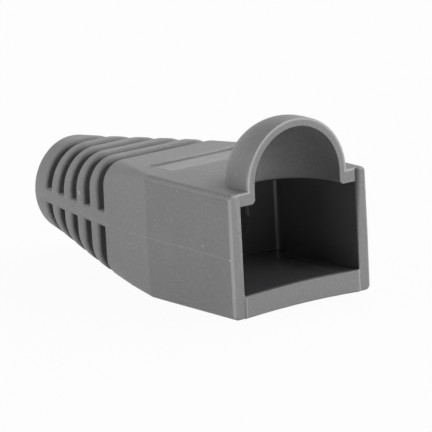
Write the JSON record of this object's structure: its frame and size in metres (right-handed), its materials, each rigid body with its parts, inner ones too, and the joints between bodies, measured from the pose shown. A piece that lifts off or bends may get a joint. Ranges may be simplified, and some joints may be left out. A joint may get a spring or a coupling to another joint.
{
  "type": "rj45 strain relief boot",
  "caption": "Slip-on strain relief boot for a modular plug: square plug housing with a half-dome latch hood and a slotted, tapering cable tail.",
  "frame": {"origin": "centre of the boot's overall length and width, at the height of the housing's underside", "axes": "+Y from the plug mouth to the cable tail along the cable's axis, +Z from the underside to the latch hood, X across"},
  "size_m": [0.014, 0.031, 0.0154],
  "materials": {
    "grey_pvc": "fine matte, soft flexible PVC"
  },
  "bodies": {
    "root": {"boot": "grey_pvc"}
  },
  "joints": []
}
